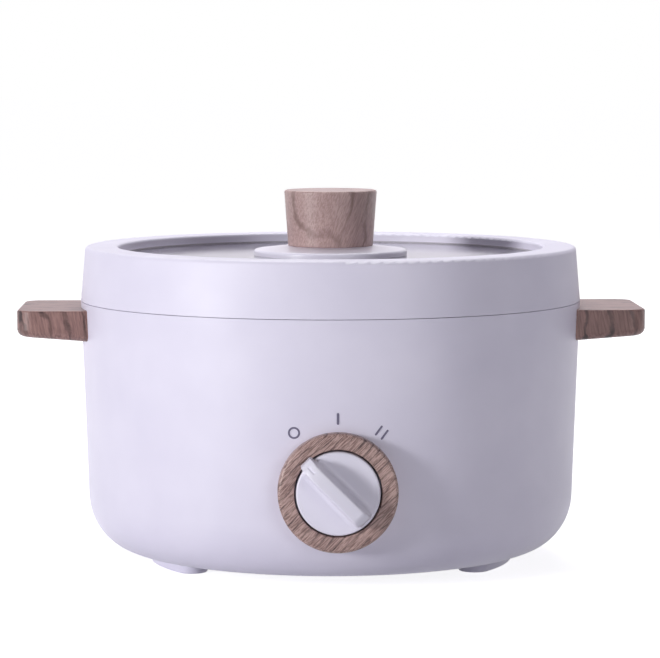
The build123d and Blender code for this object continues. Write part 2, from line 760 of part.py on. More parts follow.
def handle_right():
    slope = tan(radians(handle_slope))
    root_x = sqrt(shell_top_r**2 - (handle_width / 2) ** 2) - handle_boss_length - shell_wall
    low_z = handle_top_z - handle_thickness
    outline = Polyline(
        (root_x, handle_top_z),
        (handle_reach, handle_top_z),
        (handle_reach, low_z + (handle_reach - shell_top_r) * slope),
        (root_x, low_z + (root_x - shell_top_r) * slope),
        close=True,
    )
    slab = extrude(Plane.XZ * make_face(outline), handle_width / 2, both=True)
    slab = fillet(slab.edges().filter_by(Axis.Z).group_by(Axis.X)[-1], handle_corner)
    slab = fillet(outer_edges(slab.faces().sort_by(Axis.Z)[0], root_x), handle_under_round)
    slab = fillet(outer_edges(slab.faces().sort_by(Axis.Z)[-1], root_x), handle_edge_round)
    slab = without(slab, handle_screws_at, thread(main_screw_r, 0, handle_screw_length + blind_end))
    return slab - shell_form()


def handle_screws():
    right = [place * screw(main_screw_r, handle_screw_length) for place in handle_screws_at]
    return Compound(children=right + [mirror(one, Plane.YZ) for one in right])


# ---- Lid
def lid_ring_section():
    """The ring's channel section: skirt, top, the recess's wall, and the ledge that carries the glass."""
    inner_r = recess_r
    skirt_inner_r = shell_top_r - lid_wall
    shoulder = (shell_top_r - lid_lean, lid_top_z)
    lip = (inner_r, lid_top_z)
    hollow = (skirt_inner_r - lid_lean, lid_top_z - lid_wall)
    points = [
        (shell_top_r, lid_low_z),
        shoulder,
        lip,
        (inner_r, ledge_z),
        (inner_r - ledge_width, ledge_z),
        (inner_r - ledge_width, ledge_z - ledge_thickness),
        (inner_r, ledge_z - ledge_thickness),
        (inner_r, base_ring_top_z),
        (inner_r + lid_wall, base_ring_top_z),
        (inner_r + lid_wall, lid_top_z - lid_wall),
        hollow,
        (skirt_inner_r, lid_low_z),
    ]
    section = rounded(make_face(Polyline(*points, close=True)), shoulder, lid_shoulder)
    section = rounded(section, hollow, lid_inner_round)
    return rounded(section, lip, recess_edge)


def lid_ring():
    ring = turned(lid_ring_section())
    for place in lid_screws_at:
        ring += place * rod(lid_post_r, base_ring_top_z, lid_top_z - lid_wall / 2)
    bore = thread(small_screw_r, base_ring_top_z, base_ring_top_z + lid_screw_length)
    return without(ring, lid_screws_at, bore)


def lid_glass():
    pane = chamfer(rod(glass_r, glass_low_z, glass_top_z).edges(), glass_edge)
    pane -= clear_hole(knob_screw_r, glass_low_z, glass_top_z)
    return pane - Pos(0, vent_distance, 0) * rod(vent_tube_r + fit_gap, glass_low_z, glass_top_z)


def glass_seal():
    """Lies under the pane's edge and stands round it, a little proud of its top face."""
    seat = tube(glass_seal_r, recess_r - ledge_width, ledge_z, glass_low_z)
    return seat + tube(glass_seal_r, glass_r, glass_low_z, glass_top_z + glass_seal_lip)


def vent_grommet():
    top = glass_top_z + vent_flange_thickness
    low = glass_low_z - vent_flange_thickness
    body = rod(vent_tube_r, glass_low_z, glass_top_z) + rod(vent_flange_r, glass_top_z, top)
    body += rod(vent_flange_r, low, glass_low_z)
    return Pos(0, vent_distance, 0) * (body - rod(vent_r, low, top))


def lid_base_ring():
    """Closes the lid ring from below; its lip drops into the pan's mouth."""
    lip_r = pan_mouth_r - lid_lip_gap
    hole_r = lip_r - lid_lip_wall
    ring = tube(shell_top_r - lid_wall - hole_gap, hole_r, base_ring_low_z, base_ring_top_z)
    ring += tube(lip_r, hole_r, base_ring_low_z - lid_lip_drop, base_ring_low_z)
    bore = clear_hole(small_screw_r, base_ring_low_z, base_ring_top_z)
    bore += rod(2.1 * small_screw_r, base_ring_low_z, base_ring_low_z + lid_screw_sink)
    return without(ring, lid_screws_at, bore)


def lid_gasket():
    inner_r = pan_mouth_r + lid_gasket_inset
    return tube(inner_r + lid_gasket_width, inner_r, shell_top_z, base_ring_low_z)


def lid_screws():
    piece = Pos(0, 0, base_ring_low_z + lid_screw_sink) * screw(small_screw_r, lid_screw_length)
    return copies(lid_screws_at, piece)


def lid_boss():
    bore_r = knob_screw_r + hole_gap
    edge = (boss_r, glass_top_z + boss_edge_height)
    crown = (knob_base_r + knob_base_round, boss_top_z)
    points = [(bore_r, glass_top_z), (boss_r, glass_top_z), edge, crown, (bore_r, boss_top_z)]
    return turned(rounded(make_face(Polyline(*points, close=True)), edge, boss_edge_round))


def lid_knob():
    foot_edge = (knob_base_r, boss_top_z)
    top_edge = (knob_top_r, boss_top_z + knob_height)
    points = [(0, boss_top_z), foot_edge, top_edge, (0, boss_top_z + knob_height)]
    section = rounded(make_face(Polyline(*points, close=True)), top_edge, knob_round)
    knob = turned(rounded(section, foot_edge, knob_base_round))
    return knob - rod(insert_r + thread_gap, boss_top_z, boss_top_z + insert_length + insert_hole_extra)


def knob_insert():
    return tube(insert_r, knob_screw_r + thread_gap, boss_top_z, boss_top_z + insert_length)


def knob_screw():
    length = boss_top_z + knob_screw_reach - knob_washer_low_z
    return Pos(0, 0, knob_washer_low_z) * screw(knob_screw_r, length)


def knob_washer():
    return tube(knob_washer_r, knob_screw_r + hole_gap, knob_washer_low_z, glass_low_z)


# ---- Power inlet
def inlet_body_outline(gap=0.0):
    """The part of the inlet that stands inside the wall, or with a gap the hole for it."""
    border = 2 * (inlet_body_border + gap)
    return RectangleRounded(socket_width + border, socket_tall + border, inlet_body_corner)


def inlet_housing():
    flange = RectangleRounded(inlet_flange_width, inlet_flange_tall, inlet_flange_corner)
    housing = plate(flange, 0, inlet_flange_thickness) + plate(inlet_body_outline(), inlet_back, 0)
    mouth = Rectangle(socket_width, socket_tall)
    mouth = chamfer(mouth.vertices().group_by(Axis.Y)[-1], socket_chamfer)
    housing -= plate(mouth, socket_floor, inlet_flange_thickness)
    housing = without(housing, contacts_at, contact())
    return INLET * without(housing, inlet_screws_at, clear_hole(small_screw_r, 0, inlet_flange_thickness))


def contact():
    """One flat contact pin, with its tail behind the socket's back wall."""
    return block(contact_thick, contact_wide, contact_end, contact_tip)


def inlet_pins():
    return Compound(children=[INLET * place * contact() for place in contacts_at])


def inlet_screws():
    length = inlet_flange_thickness - inlet_pad_inner - inlet_screw_margin
    piece = Pos(0, 0, inlet_flange_thickness) * Rot(180, 0, 0) * screw(small_screw_r, length)
    return Compound(children=[INLET * place * piece for place in inlet_screws_at])


# ---- Underside
def foot(place):
    """An arc that follows the shell's edge, with round ends and sides that draw in towards the ground."""
    middle = degrees(atan2(place.position.Y, place.position.X))
    line = CenterArc((0, 0), foot_circle_r, middle - foot_span / 2, foot_span)
    body = extrude(Plane.XY.offset(foot_height) * SlotArc(line, foot_width), -foot_height, taper=foot_draft)
    body = fillet(body.edges().group_by(Axis.Z)[0], foot_round)
    body -= place * rod(2.3 * small_screw_r, 0, foot_height / 2)
    return body - place * clear_hole(small_screw_r, 0, foot_height)


def foot_screws():
    return copies(feet_at, Pos(0, 0, foot_height / 2) * screw(small_screw_r, foot_screw_length))


def base_cover():
    cover = rod(cover_r, foot_height, foot_height + cover_thickness)
    cover = chamfer(cover.edges().group_by(Axis.Z)[0], cover_edge)
    for place in around(cover_vent_circle_r, cover_vent_count):
        turn = degrees(atan2(place.position.Y, place.position.X))
        slot = SlotOverall(cover_vent_length, cover_vent_width, rotation=turn)
        cover -= place * plate(slot, foot_height - 1, foot_height + cover_thickness + 1)
    return without(cover, cover_screws_at, clear_hole(small_screw_r, foot_height, shell_floor_z))


def cover_screws():
    return copies(cover_screws_at, Pos(0, 0, foot_height) * screw(small_screw_r, cover_screw_length))


# ---- Wires
contact_end_y = inlet_pad_face + contact_end
contact_z = inlet_height - contact_drop
switch_tab_y = tab_length - switch_back - dial_wall_y
switch_tab_z = dial_height - switch_tab_drop
riser_y = (switch_tab_y - shield_r) / 2  # between the switch's tabs and the heat shield
leave_y = contact_end_y - 2 * wire_bend
settle_y = leave_y - 2 * wire_bend


def wire_live():
    """From the inlet to the switch."""
    x = contact_spread / 2
    return wire([
        (x, contact_end_y, contact_z),
        (x, leave_y, contact_z),
        (wire_side_x, settle_y, wire_high_z),
        (wire_side_x, riser_y + 3 * wire_bend, wire_high_z),
        (switch_tab_pitch, riser_y, wire_high_z),
        (switch_tab_pitch, riser_y, switch_tab_z),
        (switch_tab_pitch, switch_tab_y, switch_tab_z),
    ])


def wire_neutral():
    """From the inlet to the thermostat."""
    x = -contact_spread / 2
    y = thermostat_tab_offset
    return wire([
        (x, contact_end_y, contact_z),
        (x, leave_y, contact_z),
        (-wire_side_x, settle_y, wire_mid_z),
        (-wire_side_x, y + wire_side_x, wire_mid_z),
        (0, y, wire_mid_z),
        (0, y, thermostat_tab_z),
    ])


def wire_to_pin(tab_x, pin_at, low_z):
    """From one of the switch's tabs, down and across, then up to an element's pin."""
    pin = pin_at.position
    return wire([
        (tab_x, switch_tab_y, switch_tab_z),
        (tab_x, riser_y, switch_tab_z),
        (tab_x, riser_y, low_z),
        (pin.X, pin.Y, low_z),
        (pin.X, pin.Y, pin_low_z),
    ])


def wire_common():
    """From the thermostat to the linked pins."""
    pin = low_pins_at[0].position
    return wire([
        (0, -thermostat_tab_offset, thermostat_tab_z),
        (0, -thermostat_tab_offset, wire_mid_z),
        (pin.X, pin.Y, wire_mid_z),
        (pin.X, pin.Y, pin_low_z),
    ])


def wire_earth():
    """From the inlet to the heat shield's tab."""
    start_z = inlet_height + contact_rise
    end_y = shield_r + earth_tab_reach
    end_z = shield_top_z + shield_rim / 2
    third = (contact_end_y - end_y) / 3
    return wire([
        (0, contact_end_y, start_z),
        (0, contact_end_y - third, start_z),
        (0, end_y + third, end_z),
        (0, end_y, end_z),
    ])


right_handle = handle_right()
parts = {
    "body_shell": body_shell(),
    "cooking_pan": cooking_pan(),
    "pan_gasket": pan_gasket(),
    "pan_screws": pan_screws(),
    "heater_plate": heater_plate(),
    "heating_element_low": heating_element(low_ring_r, low_pins_at),
    "heating_element_high": heating_element(high_ring_r, high_pins_at),
    "element_pins": element_pins(),
    "element_link": element_link(),
    "heat_shield": heat_shield(),
    "thermostat": thermostat(),
    "thermostat_bracket": thermostat_bracket(),
    "thermostat_screws": thermostat_screws(),
    "switch_housing": switch_housing(),
    "switch_tabs": switch_tabs(),
    "switch_washer": switch_washer(),
    "switch_nut": switch_nut(),
    "switch_shaft": switch_shaft(),
    "dial_knob": dial_knob(),
    "dial_bezel": dial_bezel(),
    "bezel_screws": bezel_screws(),
    "dial_marks": dial_marks(),
    "handle_left": mirror(right_handle, Plane.YZ),
    "handle_right": right_handle,
    "handle_screws": handle_screws(),
    "lid_ring": lid_ring(),
    "lid_glass": lid_glass(),
    "glass_seal": glass_seal(),
    "vent_grommet": vent_grommet(),
    "lid_base_ring": lid_base_ring(),
    "lid_gasket": lid_gasket(),
    "lid_screws": lid_screws(),
    "lid_boss": lid_boss(),
    "lid_knob": lid_knob(),
    "knob_insert": knob_insert(),
    "knob_screw": knob_screw(),
    "knob_washer": knob_washer(),
    "inlet_housing": inlet_housing(),
    "inlet_pins": inlet_pins(),
    "inlet_screws": inlet_screws(),
    "foot_rear": foot(feet_at[0]),
    "foot_front_left": foot(feet_at[1]),
    "foot_front_right": foot(feet_at[2]),
    "foot_screws": foot_screws(),
    "base_cover": base_cover(),
    "cover_screws": cover_screws(),
    "wire_live": wire_live(),
    "wire_neutral": wire_neutral(),
    "wire_low": wire_to_pin(0.0, low_pins_at[1], wire_low_z),
    "wire_high": wire_to_pin(-switch_tab_pitch, high_pins_at[1], wire_mid_z),
    "wire_common": wire_common(),
    "wire_earth": wire_earth(),
}

os.makedirs("parts", exist_ok=True)
for name, shape in parts.items():
    export_step(shape, f"parts/{name}.step")
print(len(parts), "nodes written")
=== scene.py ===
# %% [markdown]
# # An electric hot pot with a lift-off glass lid
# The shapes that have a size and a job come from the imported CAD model, which is loaded as a fixed frame.
# This script gives them their looks: a camera and soft studio light, a finish for every material, and a
# modelled dial knob where the plain solid is too simple for what the eye sees. All sizes are in metres, +Z
# is up, the dial faces -Y and the handles lie along X.

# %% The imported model
import json
from math import cos, pi, radians, sin, tan

import bmesh
import bpy
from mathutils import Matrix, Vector


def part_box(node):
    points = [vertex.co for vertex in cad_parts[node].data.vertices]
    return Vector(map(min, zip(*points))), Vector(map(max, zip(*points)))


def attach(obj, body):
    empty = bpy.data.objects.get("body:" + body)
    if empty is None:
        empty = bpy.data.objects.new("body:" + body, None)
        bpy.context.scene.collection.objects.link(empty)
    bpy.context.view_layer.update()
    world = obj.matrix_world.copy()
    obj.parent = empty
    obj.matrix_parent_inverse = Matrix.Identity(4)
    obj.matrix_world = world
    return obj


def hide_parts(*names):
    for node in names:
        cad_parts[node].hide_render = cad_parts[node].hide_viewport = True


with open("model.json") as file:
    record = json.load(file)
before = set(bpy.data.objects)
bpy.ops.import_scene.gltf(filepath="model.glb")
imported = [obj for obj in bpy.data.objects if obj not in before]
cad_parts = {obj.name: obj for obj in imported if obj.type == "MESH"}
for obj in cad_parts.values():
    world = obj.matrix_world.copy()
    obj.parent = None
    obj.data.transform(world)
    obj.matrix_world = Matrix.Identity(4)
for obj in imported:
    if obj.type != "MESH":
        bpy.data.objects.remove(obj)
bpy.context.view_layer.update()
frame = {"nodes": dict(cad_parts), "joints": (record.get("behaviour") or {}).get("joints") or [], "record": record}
MM = 0.001

# %% [markdown]
# ## Camera
# The pot is seen from the front with a long lens, a little from above and a hair from the left. A long lens
# keeps the round wall from bulging. The camera is tipped down rather than shifted, so that every other view
# of the pot can use the same camera without a lopsided frame.

# %% Camera
FOCAL_LENGTH = 157.3  # on a sensor 36 mm wide
CAMERA_DISTANCE = 1.524  # level, from the pot's axis
CAMERA_HEIGHT = 0.2603
CAMERA_AZIMUTH = radians(-1.6)
CAMERA_TILT = radians(5.224)
CAMERA_YAW = radians(0.01)  # off the pot's axis, which sets the pot half a pixel right of the middle

camera_place = (
    CAMERA_DISTANCE * sin(CAMERA_AZIMUTH),
    -CAMERA_DISTANCE * cos(CAMERA_AZIMUTH),
    CAMERA_HEIGHT,
)
bpy.ops.object.camera_add(
    location=camera_place,
    rotation=(pi / 2 - CAMERA_TILT, 0, CAMERA_AZIMUTH + CAMERA_YAW),
)
camera = bpy.context.object
camera.data.lens = FOCAL_LENGTH
camera.data.clip_start = 0.05
camera.data.clip_end = 60.0
bpy.context.scene.camera = camera
print("camera at", camera_place)

# %% [markdown]
# ## Nodes and colours
# Every material below is a small tree of nodes. Colours are written as the hex codes that a paint program
# shows, and one function turns them into the linear numbers that Blender's sockets hold. One more function
# adds a node, sets its options, fills its sockets with values or links, and can lead its result on. With it
# a tree is written down in the order in which its values flow.

# %% Helpers for node trees
def srgb(code):
    """A hex colour as linear red, green and blue, with a full alpha."""
    parts = [int(code[i : i + 2], 16) / 255 for i in (1, 3, 5)]
    return [v / 12.92 if v <= 0.04045 else ((v + 0.055) / 1.055) ** 2.4 for v in parts] + [1.0]


def add_node(tree, kind, sockets=None, into=None, **options):
    """Adds one node. A socket gets a value or an output, and into gets the new node's first output."""
    node = tree.nodes.new(kind)
    for option, value in options.items():
        setattr(node, option, value)
    for socket, value in (sockets or {}).items():
        if isinstance(value, bpy.types.NodeSocket):
            tree.links.new(value, node.inputs[socket])
        else:
            node.inputs[socket].default_value = value
    if into is not None:
        tree.links.new(node.outputs[0], into)
    return node


def per_mm(size):
    """The scale that makes one feature of a pattern as long as a size in millimetres."""
    return 1 / (size * MM)


print("white is", srgb("#FFFFFF"))

# %% [markdown]
# ## Light
# A pale room and three lamps light the pot. The room is the world. Rays that come from the camera, off a
# mirror or through a pane see it at full strength, while the pot itself gets only a soft fill from it. The
# camera sees it plain white, and all other rays see a trace of lilac. Real walls could be built round the
# pot, but a world is simpler, and it has no edges that a polished face could mirror.

# %% World
FILL_LEVEL = 0.06  # of full strength, for the rays that light a surface
WALL_TINT = "#FBF7FF"


def seen_directly(tree):
    """A node that gives 1 for camera, mirror and glass rays and 0 for the rays that light a surface."""
    path = add_node(tree, "ShaderNodeLightPath").outputs
    mirror = {0: path["Is Glossy Ray"], 1: path["Is Camera Ray"]}
    glossy = add_node(tree, "ShaderNodeMath", mirror, operation="MAXIMUM")
    pane = {0: glossy.outputs[0], 1: path["Is Transmission Ray"]}
    return add_node(tree, "ShaderNodeMath", pane, operation="MAXIMUM")


world = bpy.data.worlds.new("white_studio")
world.use_nodes = True
bpy.context.scene.world = world
room = world.node_tree
background = room.nodes["Background"]
fill = {"Value": seen_directly(room).outputs[0], "To Min": FILL_LEVEL, "To Max": 1.0}
add_node(room, "ShaderNodeMapRange", fill, into=background.inputs["Strength"])
to_camera = add_node(room, "ShaderNodeLightPath").outputs["Is Camera Ray"]
tint = {0: to_camera, 6: srgb(WALL_TINT), 7: srgb("#FFFFFF")}  # sockets 6 and 7 are the two colours
walls = add_node(room, "ShaderNodeMix", tint, data_type="RGBA")
room.links.new(walls.outputs[2], background.inputs["Color"])
print("world fill", FILL_LEVEL)

# %% [markdown]
# ### Lamps
# One small key lamp stands low at the left. It gives the bright left half of the round wall, its slow fall
# into shade, and the crisp shadows of the knob and of the dial's grip. A weak lamp, a little to the right
# of the camera, lifts the shaded side, and a wide one above and behind lights what faces up. They are area
# lamps, because the size of such a lamp sets how soft its shadows are.

# %% Lamps
LAMPS = {  # azimuth from the front and elevation in degrees, distance and size in metres, power in watts
    "key_lamp": (-54, 9, 2.0, 0.34, 23.0),
    "fill_lamp": (26, 10, 1.8, 0.7, 4.8),
    "top_lamp": (180, 66, 1.6, 1.3, 22.0),
}
AIM_HEIGHT = 0.08  # about half way up the pot

aim = Vector((0, 0, AIM_HEIGHT))
for name, (azimuth, elevation, distance, size, power) in LAMPS.items():
    around, up = radians(azimuth), radians(elevation)
    way = Vector((sin(around) * cos(up), -cos(around) * cos(up), sin(up)))
    turn = way.to_track_quat("Z", "Y").to_euler()
    bpy.ops.object.light_add(type="AREA", location=aim + distance * way, rotation=turn)
    lamp = bpy.context.object
    lamp.name = name
    lamp.data.size = size
    lamp.data.energy = power
    print(name, "at", tuple(lamp.location))

# %% [markdown]
# ## Floor
# A plain white sheet. It is a real surface, so it bounces light up under the pot and takes its soft shadow.
# A share of its own glow, seen by the camera and by reflections alone, lifts it to white. The glow is a
# little weaker near the pot, where the lamps add the rest, so that the shadow under the pot still shows.

# %% Floor
FLOOR_WIDTH = 40.0
NEAR_GLOW, FAR_GLOW = 0.84, 0.96
NEAR_REACH, FAR_REACH = 0.2, 0.9  # metres from the pot's axis

bpy.ops.mesh.primitive_plane_add(size=FLOOR_WIDTH, location=(0, 0, 0))
floor = bpy.context.object
floor.name = "floor"

paper = bpy.data.materials.new("white_paper_sweep")
paper.use_nodes = True
tree = paper.node_tree
tree.nodes.remove(tree.nodes["Principled BSDF"])
spot = add_node(tree, "ShaderNodeTexCoord").outputs["Object"]
reach = add_node(tree, "ShaderNodeVectorMath", {0: spot}, operation="LENGTH").outputs["Value"]
span = {"From Min": NEAR_REACH, "From Max": FAR_REACH, "To Min": NEAR_GLOW, "To Max": FAR_GLOW}
own_glow = add_node(tree, "ShaderNodeMapRange", {"Value": reach, **span}, interpolation_type="SMOOTHSTEP")
shown = {0: seen_directly(tree).outputs[0], 1: own_glow.outputs[0]}
strength = add_node(tree, "ShaderNodeMath", shown, operation="MULTIPLY").outputs[0]
glow = add_node(tree, "ShaderNodeEmission", {"Color": srgb("#FFFFFF"), "Strength": strength})
matt = add_node(tree, "ShaderNodeBsdfDiffuse", {"Color": srgb("#D6D5DC")})
sheet = tree.nodes["Material Output"].inputs["Surface"]
add_node(tree, "ShaderNodeAddShader", {0: glow.outputs[0], 1: matt.outputs[0]}, into=sheet)
floor.data.materials.append(paper)
print("floor is", floor.dimensions.x, "m wide")

# %% [markdown]
# ## Finishes
# Each finish is one Principled surface. What is the same all over it is set on the surface's own sockets.
# What varies, such as colour, roughness and relief, is worked out from Object coordinates, which lie still
# in the piece, so a pattern stays put when a piece moves.

# %% A new finish
def new_finish(name, **constants):
    """A material with a Principled surface; constants are its sockets, with _ for a space."""
    material = bpy.data.materials.new(name)
    material.use_nodes = True
    surface = material.node_tree.nodes["Principled BSDF"]
    for socket, value in constants.items():
        surface.inputs[socket.replace("_", " ")].default_value = value
    return material, material.node_tree, surface


def set_ramp(ramp, stops, tones):
    """Gives the two stops of a colour ramp their places and their hex colours."""
    for element, stop, tone in zip(ramp.color_ramp.elements, stops, tones):
        element.position, element.color = stop, srgb(tone)


print("materials so far:", len(bpy.data.materials))

# %% [markdown]
# ### Moulded ABS
# The body, the lid, the feet and the base are ABS from a polished mould. To the eye it is a cool white with
# a satin sheen, very slightly uneven in tone, with a fine orange-peel skin that softens reflections. The
# lid carries fine level lines, which a mould turned on a lathe leaves. The boss is polished, and the dial
# is a little whiter than the body. The cloud of tone and the skin are two noise patterns of very different
# size, and the turning lines are a third one, pressed flat so that it varies with height alone.

# %% ABS finishes
ABS_IOR = 1.53
CLOUD_MM = 35  # size of the patches of uneven tone
CLOUD_STOPS = (0.3, 0.7)
PEEL_MM, PEEL_DEPTH, PEEL_SHARE = 0.9, 0.02 * MM, 0.35  # the share is how much of the depth shows
LINE_MM, LINE_DEPTH = 1.3, 0.05 * MM  # a lathe's lines are finer; these are as coarse as it takes to show
LINE_RUN_MM = 160  # how far a turning line keeps its depth


def moulded_abs(name, tones, roughness, lines=0.0):
    """White ABS; lines is the share of fine level turning lines in its relief."""
    material, tree, surface = new_finish(name, Roughness=roughness, IOR=ABS_IOR)
    colour, normal = surface.inputs["Base Color"], surface.inputs["Normal"]
    place = add_node(tree, "ShaderNodeTexCoord").outputs["Object"]
    patches = {"Vector": place, "Scale": per_mm(CLOUD_MM), "Detail": 2.0}
    cloud = add_node(tree, "ShaderNodeTexNoise", patches)
    ramp = add_node(tree, "ShaderNodeValToRGB", {"Fac": cloud.outputs[0]}, into=colour)
    set_ramp(ramp, CLOUD_STOPS, tones)
    dimples = {"Vector": place, "Scale": per_mm(PEEL_MM), "Detail": 1.0}
    peel = add_node(tree, "ShaderNodeTexNoise", dimples)
    bump = {"Height": peel.outputs[0], "Distance": PEEL_DEPTH, "Strength": PEEL_SHARE}
    skin = add_node(tree, "ShaderNodeBump", bump, into=normal)
    if lines:
        flat = (per_mm(LINE_RUN_MM), per_mm(LINE_RUN_MM), per_mm(LINE_MM))
        pressed = add_node(tree, "ShaderNodeMapping", {"Vector": place, "Scale": flat}).outputs[0]
        ring = add_node(tree, "ShaderNodeTexNoise", {"Vector": pressed, "Scale": 1.0, "Detail": 3.0})
        bump = {"Height": ring.outputs[0], "Distance": LINE_DEPTH, "Strength": lines}
        add_node(tree, "ShaderNodeBump", {"Normal": skin.outputs[0], **bump}, into=normal)
    return material


body_abs = moulded_abs("satin_moulded_ABS", ("#E3DFF1", "#E9E5F6"), 0.45)
lid_abs = moulded_abs("lathe_lined_moulded_ABS", ("#E5E1F3", "#EBE7F8"), 0.5, lines=0.5)
boss_abs = moulded_abs("polished_moulded_ABS", ("#EAE6F7", "#F0ECFB"), 0.3)
dial_abs = moulded_abs("fine_satin_moulded_ABS", ("#E8E5F4", "#EEEBF8"), 0.38)
print("ABS finishes:", [m.name for m in (body_abs, lid_abs, boss_abs, dial_abs)])

# %% [markdown]
# ### Oiled walnut
# The knob, the handles and the dial's bezel are walnut with an oiled, satin face. To the eye it is a greyed
# pink-brown with fine pores along the fibres, paler and darker patches, and dark growth lines that wander.
# A flat picture of wood could be wrapped round each piece, but it would break at every edge. So the pattern
# is solid: growth lines are layers through the piece, and run on from one face to the next as in real wood.
#
# Each piece is turned to its own direction of grain. On the handles the level faces are cut along the
# fibres, and the upright ones across the layers, so those two kinds of face are turned apart.

# %% Direction of the grain
LEVEL_FACE = 0.7  # a face that points up by more than this share is a level one


def grain_place(tree, turn, level_turn=None):
    """Object coordinates turned so that the fibres run along Z and the layers are stacked along X."""
    here = add_node(tree, "ShaderNodeTexCoord").outputs
    grain = add_node(tree, "ShaderNodeMapping", {"Vector": here["Object"], "Rotation": turn}).outputs[0]
    if level_turn is None:
        return grain
    level_grain = add_node(tree, "ShaderNodeMapping", {"Vector": here["Object"], "Rotation": level_turn})
    upward = add_node(tree, "ShaderNodeSeparateXYZ", {0: here["Normal"]}).outputs["Z"]
    level = add_node(tree, "ShaderNodeMath", {0: upward, 1: LEVEL_FACE}, operation="GREATER_THAN")
    choice = {0: level.outputs[0], 4: grain, 5: level_grain.outputs[0]}  # sockets 4 and 5 are vectors
    return add_node(tree, "ShaderNodeMix", choice, data_type="VECTOR").outputs[1]


print("a level face points up by", LEVEL_FACE)

# %% [markdown]
# The growth lines are the low edge of a wave that runs across the layers. Left alone it would draw ruled
# lines. A slow noise, longer along the fibres than across them, first pushes the wave aside, as years of
# good and bad weather do, and the wave's own distortion frays the edge of each line.

# %% Growth lines
WANDER_MM = (22, 22, 45)  # how far apart the bends of a line are, along the grain's X, Y and Z
LINE_EDGE = 0.14  # height of the wave at which a line has faded into the wood
FRAY = {"Distortion": 1.6, "Detail": 4.0, "Detail Scale": 2.5, "Detail Roughness": 0.75}
WAVES_PER_UNIT = 20 / (2 * pi)  # of Blender's wave texture at a scale of 1


def growth_lines(tree, grain, line_mm, wander_mm):
    """Lines line_mm apart that stray sideways by up to wander_mm: 1 on a line and 0 between them."""
    bends = [per_mm(size) for size in WANDER_MM]
    slow = add_node(tree, "ShaderNodeMapping", {"Vector": grain, "Scale": bends})
    wander = add_node(tree, "ShaderNodeTexNoise", {"Vector": slow.outputs[0], "Scale": 1.0, "Detail": 3.0})
    sideways = {0: wander.outputs[1], 1: (wander_mm * MM, 0.0, 0.0)}
    shift = add_node(tree, "ShaderNodeVectorMath", sideways, operation="MULTIPLY")
    pushed = add_node(tree, "ShaderNodeVectorMath", {0: grain, 1: shift.outputs[0]}, operation="ADD")
    waves = {"Vector": pushed.outputs[0], "Scale": per_mm(line_mm) / WAVES_PER_UNIT, **FRAY}
    layers = add_node(tree, "ShaderNodeTexWave", waves, bands_direction="X")
    fade = {"Value": layers.outputs[1], "From Max": LINE_EDGE, "To Min": 1.0, "To Max": 0.0}
    return add_node(tree, "ShaderNodeMapRange", fade).outputs[0]


print("lines fade out at", LINE_EDGE)

# %% [markdown]
# The wood's ground colour follows its fibres, which are one fine noise drawn out along the grain. Dark
# lines and a faint cloud are laid over it, both stronger in some patches than in others. The knob's grain
# leans and shows its fibres more than its lines, the handles have the darkest lines, and the ring round the
# dial, a small piece, has the finest ones.

# %% Walnut finishes
FIBRE_LENGTH = 12  # of a fibre, in its own widths, which are drawn coarser than real ones so that they show
FIBRE_MIDDLE = 0.49  # of the fibres' noise
PATCH_MM = 15
PATCH_RANGE = {"From Min": 0.38, "From Max": 0.6, "To Min": 0.35}
CLOUD_SHARE = 0.16  # of the dark tone that a patch has between its lines
PORE_DEPTH, PORE_SHARE = 0.06 * MM, 0.4


def walnut(name, tones, turns, line_mm, fibre_mm, wander_mm, strength, softness):
    """Tones run from pale to dark; strength is that of the dark marks; softness evens the fibres out."""
    material, tree, surface = new_finish(name, Roughness=0.4, IOR=1.5)
    grain = grain_place(tree, *turns)
    across, along = per_mm(fibre_mm), per_mm(FIBRE_LENGTH * fibre_mm)
    drawn = add_node(tree, "ShaderNodeMapping", {"Vector": grain, "Scale": (across, across, along)})
    fine = {"Vector": drawn.outputs[0], "Scale": 1.0, "Detail": 4.0, "Roughness": 0.65}
    fibres = add_node(tree, "ShaderNodeTexNoise", fine)
    pale, mid, dark = tones
    ground = add_node(tree, "ShaderNodeValToRGB", {"Fac": fibres.outputs[0]})
    set_ramp(ground, (FIBRE_MIDDLE - softness, FIBRE_MIDDLE + softness), (mid, pale))

    spots = {"Vector": grain, "Scale": per_mm(PATCH_MM), "Detail": 3.0}
    patches = add_node(tree, "ShaderNodeTexNoise", spots)
    share = add_node(tree, "ShaderNodeMapRange", {"Value": patches.outputs[0], **PATCH_RANGE}).outputs[0]
    lines = {0: growth_lines(tree, grain, line_mm, wander_mm), 1: share}
    lined = add_node(tree, "ShaderNodeMath", lines, operation="MULTIPLY")
    clouds = {0: share, 1: CLOUD_SHARE, 2: lined.outputs[0]}
    cloudy = add_node(tree, "ShaderNodeMath", clouds, operation="MULTIPLY_ADD")
    marks = {0: cloudy.outputs[0], 1: strength}
    amount = add_node(tree, "ShaderNodeMath", marks, operation="MULTIPLY", use_clamp=True)
    laid = {0: amount.outputs[0], 6: ground.outputs[0], 7: srgb(dark)}
    tone = add_node(tree, "ShaderNodeMix", laid, data_type="RGBA")
    tree.links.new(tone.outputs[2], surface.inputs["Base Color"])
    pores = {"Height": fibres.outputs[0], "Distance": PORE_DEPTH, "Strength": PORE_SHARE}
    add_node(tree, "ShaderNodeBump", pores, into=surface.inputs["Normal"])
    return material


